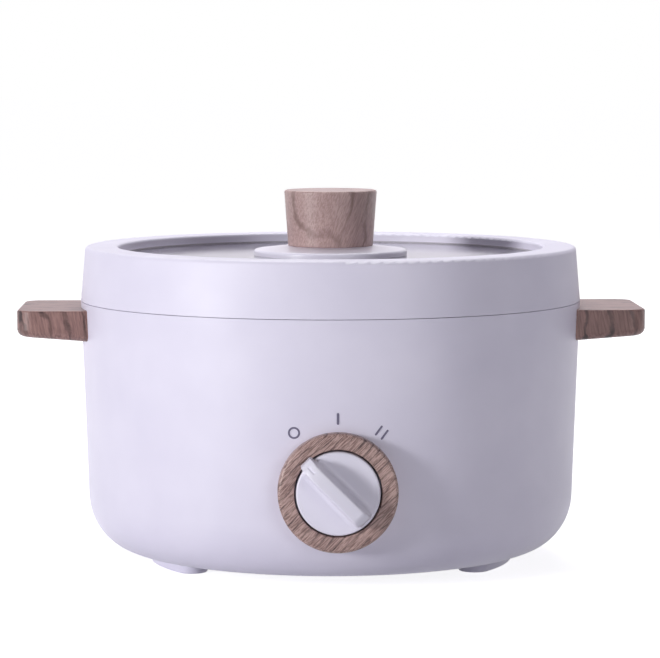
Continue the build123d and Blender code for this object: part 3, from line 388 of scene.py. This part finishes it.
knob_walnut = walnut(
    "oiled_turned_walnut",
    tones=("#C4A8A5", "#A88B87", "#7C625D"),
    turns=[(radians(10), radians(-20), radians(115))],
    line_mm=15,
    fibre_mm=0.6,
    wander_mm=30,
    strength=0.7,
    softness=0.1,
)
handle_walnut = walnut(
    "oiled_sawn_walnut",
    tones=("#9C7973", "#755651", "#30191A"),
    turns=[(0, radians(10), 0), (0, pi / 2, radians(84))],
    line_mm=11,
    fibre_mm=1.0,
    wander_mm=30,
    strength=0.95,
    softness=0.12,
)
bezel_walnut = walnut(
    "oiled_ring_walnut",
    tones=("#C6A8A1", "#80645F", "#3E2A2A"),
    turns=[(0, radians(-45), 0)],
    line_mm=4,
    fibre_mm=0.5,
    wander_mm=14,
    strength=0.75,
    softness=0.08,
)
print("walnut finishes:", [m.name for m in (knob_walnut, handle_walnut, bezel_walnut)])

# %% [markdown]
# ### Metals
# Inside are pressed aluminium sheet, heating elements in steel tube that heat has tinted, zinc-plated
# screws and brass contacts. Bare metal has hardly a colour of its own. What the eye reads is how its marks
# scatter a reflection, so one noise at the size of those marks gives both the slight change of tone and the
# relief.

# %% Metal finishes
METAL_STOPS = (0.35, 0.65)
METAL_SHARE = 0.5  # of the marks' depth that shows


def worked_metal(name, tones, roughness, marks_mm, depth_mm):
    """Bare metal with fine marks of its working; marks_mm is their size along X, Y and Z."""
    material, tree, surface = new_finish(name, Roughness=roughness, Metallic=1.0)
    colour, normal = surface.inputs["Base Color"], surface.inputs["Normal"]
    place = add_node(tree, "ShaderNodeTexCoord").outputs["Object"]
    scale = [per_mm(size) for size in marks_mm]
    sized = add_node(tree, "ShaderNodeMapping", {"Vector": place, "Scale": scale}).outputs[0]
    marks = add_node(tree, "ShaderNodeTexNoise", {"Vector": sized, "Scale": 1.0, "Detail": 3.0}).outputs[0]
    set_ramp(add_node(tree, "ShaderNodeValToRGB", {"Fac": marks}, into=colour), METAL_STOPS, tones)
    bump = {"Height": marks, "Distance": depth_mm * MM, "Strength": METAL_SHARE}
    add_node(tree, "ShaderNodeBump", bump, into=normal)
    return material


# name, tones, roughness, size and depth of the marks in millimetres
sheet_aluminium = worked_metal("pressed_aluminium_sheet", ("#B4B4B8", "#C4C4C8"), 0.38, (3, 3, 3), 0.02)
tinted_steel = worked_metal("heat_tinted_steel_tube", ("#6A615C", "#857B72"), 0.42, (2.5, 2.5, 2.5), 0.02)
zinc_steel = worked_metal("zinc_plated_steel", ("#A9A9AE", "#BFBFC2"), 0.34, (1.2, 1.2, 1.2), 0.01)
contact_brass = worked_metal("stamped_brass", ("#B5954F", "#CDB06A"), 0.32, (1, 1, 4), 0.01)
print("metal finishes:", [m.name for m in (sheet_aluminium, tinted_steel, zinc_steel, contact_brass)])

# %% [markdown]
# ### Coating, rubber and small plastics
# The pan has a dark non-stick coat, sprayed on. The seals and the wires' covers are silicone, the switch,
# the thermostat and the inlet black plastic, and the marks round the dial printed ink. All of them are matt
# or satin with an even fine grit, so they share one function and differ in colour, gloss and the size of
# the grit.

# %% Gritty finishes
GRIT_STOPS = (0.4, 0.62)  # of a grit that is drawn several times as coarse as the real one, to show at all
GRIT_SHARE = 0.5  # of the grit's depth that shows


def gritty(name, tones, roughness, grit_mm, depth_mm, ior):
    """A matt or satin finish with an even fine grit."""
    material, tree, surface = new_finish(name, Roughness=roughness, IOR=ior)
    colour, normal = surface.inputs["Base Color"], surface.inputs["Normal"]
    place = add_node(tree, "ShaderNodeTexCoord").outputs["Object"]
    grains = {"Vector": place, "Scale": per_mm(grit_mm), "Detail": 2.0}
    grit = add_node(tree, "ShaderNodeTexNoise", grains).outputs[0]
    set_ramp(add_node(tree, "ShaderNodeValToRGB", {"Fac": grit}, into=colour), GRIT_STOPS, tones)
    bump = {"Height": grit, "Distance": depth_mm * MM, "Strength": GRIT_SHARE}
    add_node(tree, "ShaderNodeBump", bump, into=normal)
    return material


SILICONE_IOR = 1.41
# name, tones, roughness, size and depth of the grit in millimetres, IOR
seal_silicone = gritty("moulded_silicone", ("#C9C7CD", "#D6D4DA"), 0.55, 0.6, 0.01, SILICONE_IOR)
seal_rubber = gritty("grey_silicone_glazing_seal", ("#BDB8C4", "#CBC6D2"), 0.5, 0.6, 0.01, SILICONE_IOR)
pan_coating = gritty("sprayed_nonstick_coating", ("#2B2B2E", "#3D3D41"), 0.34, 0.5, 0.015, 1.35)
black_plastic = gritty("moulded_black_PBT", ("#161618", "#222225"), 0.5, 0.5, 0.01, 1.55)
mark_ink = gritty("pad_printed_ink", ("#625D76", "#78738C"), 0.6, 0.3, 0.005, 1.5)
WIRE_TONES = {
    "brown": ("#4A2B1A", "#5A3622"),
    "blue": ("#23427F", "#2C4F94"),
    "red": ("#8E2620", "#A33029"),
    "green": ("#4C7F2B", "#5B9335"),
}
wires = {
    colour: gritty(colour + "_silicone_insulation", tones, 0.5, 1.0, 0.01, SILICONE_IOR)
    for colour, tones in WIRE_TONES.items()
}
print("wire finishes:", [material.name for material in wires.values()])

# %% [markdown]
# ### Tempered glass
# The lid's pane is clear. Its colour is a painted reflection: a breath of the room's lilac that it mirrors. A
# perfect pane would mirror the lamps as hard spots. Wiping leaves a trace of haze, which blurs what the pane
# mirrors a little more in some places.

# %% Glass finish
HAZE_MM = 25

# the lilac base colour is a painted reflection of the lilac room, laid on a clear pane
lid_glass, tree, surface = new_finish("tempered_clear_glass", IOR=1.52, Base_Color=srgb("#EFEAF9"))
surface.inputs["Transmission Weight"].default_value = 1.0
place = add_node(tree, "ShaderNodeTexCoord").outputs["Object"]
haze = add_node(tree, "ShaderNodeTexNoise", {"Vector": place, "Scale": per_mm(HAZE_MM), "Detail": 3.0})
wiped = {"Value": haze.outputs[0], "To Min": 0.08, "To Max": 0.14}
add_node(tree, "ShaderNodeMapRange", wiped, into=surface.inputs["Roughness"])
print("glass finish:", lid_glass.name)

# %% [markdown]
# ## The dial knob
# The knob is one white moulding: a shallow disc with a skirt behind it, and a grip bar across its face that
# ends in a pointer. The plain solid has straight flanks, while the real bar melts into the disc. The bar
# could be sculpted out of the disc's own face, but drawn out from station to station it keeps its height
# and width in hand along its whole length. So the disc is turned up first, and the bar is made apart and
# joined on.
#
# Edit mode works on what is selected, and a script has no mouse to select with. So one helper selects by
# place.

# %% Picking by place
NEAR = 0.01 * MM  # a corner this close to a plane lies on it
SAME = 0.001 * MM  # corners this close are merged


def pick(kind, test):
    """In edit mode, selects the verts, edges or faces whose corners all pass a test of their place."""
    mesh = bpy.context.edit_object.data
    bpy.ops.mesh.select_mode(type=kind[:-1].upper())
    bpy.ops.mesh.select_all(action="DESELECT")
    shape = bmesh.from_edit_mesh(mesh)
    for item in getattr(shape, kind):
        corners = [item] if kind == "verts" else item.verts
        item.select_set(all(test(corner.co) for corner in corners))
    bmesh.update_edit_mesh(mesh)


def draw_out(x=0.0, y=0.0, z=0.0):
    """Extrudes what is selected along a vector in metres."""
    bpy.ops.mesh.extrude_region_move(TRANSFORM_OT_translate={"value": (x, y, z)})


def start_editing(name):
    """Names the new primitive, puts its place into its mesh, and opens it in edit mode."""
    bpy.context.object.name = name
    bpy.ops.object.transform_apply(location=True, rotation=True, scale=True)
    bpy.ops.object.mode_set(mode="EDIT")


def close_shell():
    """Merges doubled corners all over the piece and points its faces outwards."""
    bpy.ops.mesh.select_all(action="SELECT")
    bpy.ops.mesh.remove_doubles(threshold=SAME)
    bpy.ops.mesh.normals_make_consistent(inside=False)


print("corners closer than", SAME, "m are merged")

# %% [markdown]
# The knob has to fit the switch's shaft and the ring round it, so its axis and its front and back levels
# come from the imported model. Only the grip's height is a size of its own.

# %% The knob's axis and levels
GRIP_HEIGHT = 14.0 * MM

dial_low, dial_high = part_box("dial_knob")
dial_joint = next(joint for joint in frame["joints"] if joint["name"] == "dial_turn")
dial_z = dial_joint["pos_m"][2]
skirt_y = dial_high.y
face_y = dial_low.y + GRIP_HEIGHT
print("dial axis at height", dial_z, "face plane at y", face_y)

# %% [markdown]
# ### Disc, skirt and hub
# On the real knob the disc is hollow behind, with a skirt round it and a hub that grips the switch's shaft.
# It could be spun from half a section. A circle that is extruded and inset by turns gives the same faces
# with no points to place, and every radius stays a named size.

# %% Disc, skirt and hub
RIM_CORNERS = 128
DISC_R = 20.6 * MM
RIM_ROUND, RIM_STEPS = 1.0 * MM, 5
FACE_EDGE = 0.3 * MM  # a narrow band that keeps the shading of the flat face even
SKIRT_WALL = 2.2 * MM
DISC_THICKNESS = 3.0 * MM
HUB_R, HUB_LENGTH, BORE_R = 6.5 * MM, 4.0 * MM, 3.05 * MM

bpy.ops.object.select_all(action="DESELECT")
bpy.ops.mesh.primitive_circle_add(
    vertices=RIM_CORNERS,
    radius=DISC_R,
    fill_type="NGON",
    location=(0, skirt_y, dial_z),
    rotation=(pi / 2, 0, 0),
)
start_editing("dial_disc")
draw_out(y=face_y - skirt_y)
bpy.ops.mesh.bevel(offset=RIM_ROUND, segments=RIM_STEPS, affect="EDGES")
pick("faces", lambda place: abs(place.y - face_y) < NEAR)
bpy.ops.mesh.inset(thickness=FACE_EDGE)
pick("faces", lambda place: abs(place.y - skirt_y) < NEAR)
bpy.ops.mesh.inset(thickness=SKIRT_WALL)
draw_out(y=face_y + DISC_THICKNESS - skirt_y)
bpy.ops.mesh.inset(thickness=DISC_R - SKIRT_WALL - HUB_R)
draw_out(y=HUB_LENGTH)
bpy.ops.mesh.inset(thickness=HUB_R - BORE_R)
draw_out(y=-HUB_LENGTH)
close_shell()
bpy.ops.object.mode_set(mode="OBJECT")
disc = bpy.context.object
print("disc has", len(disc.data.polygons), "faces")

# %% [markdown]
# ### Section of the grip
# Cut across, the bar is a tall block with leaning flanks and rounded upper corners, and a hollow quarter
# round leads each flank out into the disc. The section could be typed in as points. Here it grows from one
# plane: two cuts mark where the pointer's groove will lie, the top is narrowed and its corners bevelled,
# and the foot is drawn down in small steps that get wider and wider.

# %% Section of the grip
TIP_HALF, TAIL_HALF = 3.3 * MM, 3.8 * MM  # half the top's width
TIP, TAIL = 22.8 * MM, -19.2 * MM  # along the bar, from the dial's axis
FLANK_LEAN = radians(6)
TOP_ROUND, ROUND_STEPS = 1.1 * MM, 4
BLEND_R = 2.6 * MM  # of the hollow between flank and disc
BLEND_STEPS = 6
GROOVE_HALF = 0.9 * MM
SUNK = 0.2 * MM  # the foot's depth below the disc's face

flank = GRIP_HEIGHT - BLEND_R
foot_half = TAIL_HALF + flank * tan(FLANK_LEAN)
middle = Vector((0, face_y - BLEND_R - flank / 2, dial_z + TAIL))
bpy.ops.object.select_all(action="DESELECT")
bpy.ops.mesh.primitive_plane_add(size=1.0, location=middle)
bpy.context.object.scale = (2 * foot_half, flank, 1.0)
start_editing("dial_grip")
for side in (-1, 1):
    bpy.ops.mesh.select_all(action="SELECT")
    bpy.ops.mesh.bisect(plane_co=(side * GROOVE_HALF, 0, 0), plane_no=(1, 0, 0))
pick("verts", lambda place: place.y < middle.y and abs(place.x) > GROOVE_HALF + NEAR)
bpy.ops.transform.resize(value=(TAIL_HALF / foot_half, 1, 1))
bpy.ops.mesh.bevel(offset=TOP_ROUND, segments=ROUND_STEPS, affect="VERTICES")
pick("edges", lambda place: place.y > face_y - BLEND_R - NEAR)
half, depth = foot_half, 0.0
for step in range(1, BLEND_STEPS + 1):
    angle = step * pi / 2 / BLEND_STEPS
    wider = foot_half + BLEND_R * (1 - cos(angle))
    draw_out(y=BLEND_R * sin(angle) - depth)
    bpy.ops.transform.resize(value=(wider / half, 1, 1))
    half, depth = wider, BLEND_R * sin(angle)
draw_out(y=SUNK)
print("section is", round(2 * half / MM, 1), "mm wide at its foot")

# %% [markdown]
# ### Grip drawn out along its length
# The tail climbs out of the disc in a quarter ellipse, and the tip bends down to about half the height. A
# curve could sweep the section along, but it would scale height and width alike. So the section is extruded
# from station to station, and at each one it is resized in width and in height about the level of its foot.

# %% Grip drawn out along its length
TIP_RUN, TAIL_RUN = 10.0 * MM, 6.6 * MM  # length of the bend at each end
END_STEPS = 8
TIP_RISE = 0.52  # of the tip, as a share of the full height
END_SHARE = 0.7  # of the width that the tail keeps where it meets the disc

turns = [step * pi / 2 / END_STEPS for step in range(END_STEPS + 1)]
tail_end = [(TAIL + TAIL_RUN * (1 - cos(turn)), sin(turn)) for turn in turns[1:]]
tip_turns = turns[:-3] + turns[-1:]  # two close to the tip are left out, to make room for its rounding
tip_end = [(TIP - TIP_RUN * (1 - sin(turn)), 1 - (1 - TIP_RISE) * (1 - cos(turn))) for turn in tip_turns]
base_y = face_y + SUNK
bpy.ops.mesh.select_all(action="SELECT")
here, width, height = TAIL, 1.0, 1.0
for along, rise in tail_end + tip_end:
    if here == TAIL:
        bpy.ops.transform.translate(value=(0, 0, along - here))
    else:
        draw_out(z=along - here)
    narrow = 1 + (TIP_HALF / TAIL_HALF - 1) * (along - TAIL) / (TIP - TAIL)
    if along < 0:
        narrow *= END_SHARE + (1 - END_SHARE) * rise
    centre = (0, base_y, dial_z + along)
    bpy.ops.transform.resize(value=(narrow / width, rise / height, 1), center_override=centre)
    here, width, height = along, narrow, rise
print("grip has", len(tail_end + tip_end), "stations")

# %% [markdown]
# ### Tip and pointer groove
# Near the disc's edge the hollow has nothing left to melt into, so there the flanks are drawn in until they
# stand nearly straight. The edges round the tip's end are bevelled, and a shallow groove on the tip's back
# is the pointer. A block taken away with a Boolean could cut it. The section already has a narrow strip in
# its middle, so an inset that sinks that strip does it with clean faces.

# %% Tip and pointer groove
OVERHANG = 19.5 * MM  # along the bar, where the disc's flat face ends
FLANK_FROM = 0.9 * TIP_HALF  # corners further out than this belong to a flank
FLARE_LEFT = 0.1  # of the flanks' flare, past the overhang
TIP_ROUND = 0.9 * MM
GROOVE_FROM, GROOVE_TO = 16.5 * MM, 21.5 * MM  # along the bar
GROOVE_DEPTH = 0.6 * MM
GROOVE_BANK = 0.6 * MM  # width of its sloping sides
BACK_ABOVE = 0.4 * GRIP_HEIGHT  # above the disc; the bar's back is higher than this where the groove lies

for side in (-1, 1):
    pick("verts", lambda place: place.z > dial_z + OVERHANG and side * place.x > FLANK_FROM)
    bpy.ops.transform.resize(value=(FLARE_LEFT, 1, 1), center_override=(side * TIP_HALF, base_y, dial_z))
close_shell()
pick("faces", lambda place: place.z > dial_z + TIP - NEAR)
bpy.ops.mesh.region_to_loop()
bpy.ops.mesh.bevel(offset=TIP_ROUND, segments=ROUND_STEPS, affect="EDGES")
pick(
    "faces",
    lambda place: dial_z + GROOVE_FROM < place.z < dial_z + GROOVE_TO
    and abs(place.x) < GROOVE_HALF + NEAR
    and place.y < face_y - BACK_ABOVE,
)
bpy.ops.mesh.inset(thickness=GROOVE_BANK, depth=-GROOVE_DEPTH)
bpy.ops.object.mode_set(mode="OBJECT")
grip = bpy.context.object
print("grip has", len(grip.data.polygons), "faces")

# %% [markdown]
# ### Knob put together
# At rest the pointer stands 45 degrees left of upright, at the first mark. The bar is turned there within
# its mesh, so that the piece's object stays at the origin, where its pattern and its joint expect it. Disc
# and bar are joined, because they are one moulding. The piece rides on the dial and takes the plain solid's
# place.

# %% Knob put together
REST_TURN = radians(45)
SMOOTH_BELOW = radians(32)  # edges that bend by less are shaded smooth

bpy.ops.object.mode_set(mode="EDIT")
bpy.ops.mesh.select_all(action="SELECT")
bpy.ops.transform.rotate(value=REST_TURN, orient_axis="Y", center_override=(0, face_y, dial_z))
bpy.ops.object.mode_set(mode="OBJECT")
disc.select_set(True)
bpy.ops.object.join()
dial_knob = bpy.context.object
dial_knob.name = "dial_turning_knob"
bpy.ops.object.shade_smooth_by_angle(angle=SMOOTH_BELOW)
dial_knob.data.materials.append(dial_abs)
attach(dial_knob, "dial")
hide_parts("dial_knob")
tip = max(dial_knob.data.vertices, key=lambda corner: corner.co.z)
print("highest corner of the knob at", tuple(tip.co))

# %% [markdown]
# ## Finishes on the CAD nodes
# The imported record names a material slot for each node. One table turns slots into finishes. The lid's ring
# shares its slot with the body, and gets the finish with the turning lines.

# %% Dress the CAD nodes
finish_of_slot = {
    "white_plastic": body_abs,
    "dial_plastic": dial_abs,
    "boss_plastic": boss_abs,
    "knob_wood": knob_walnut,
    "handle_wood": handle_walnut,
    "bezel_wood": bezel_walnut,
    "mark_ink": mark_ink,
    "lid_glass": lid_glass,
    "silicone": seal_silicone,
    "seal_rubber": seal_rubber,
    "pan_coating": pan_coating,
    "heater_aluminium": sheet_aluminium,
    "element_steel": tinted_steel,
    "screw_steel": zinc_steel,
    "contact_brass": contact_brass,
    "black_plastic": black_plastic,
}
finish_of_slot.update({"wire_" + colour: material for colour, material in wires.items()})
own_finish = {"lid_ring": lid_abs}
for part in frame["record"]["subparts"]:
    name = part["node"]
    for place in frame["nodes"][name].material_slots:
        place.material = own_finish.get(name, finish_of_slot[part["material_slot"]])
print("dressed", len(frame["nodes"]), "nodes")

# %% [markdown]
# ## View transform
# The view transform is Standard, so a colour shows as it is written.

# %% View transform
bpy.context.scene.view_settings.view_transform = "Standard"
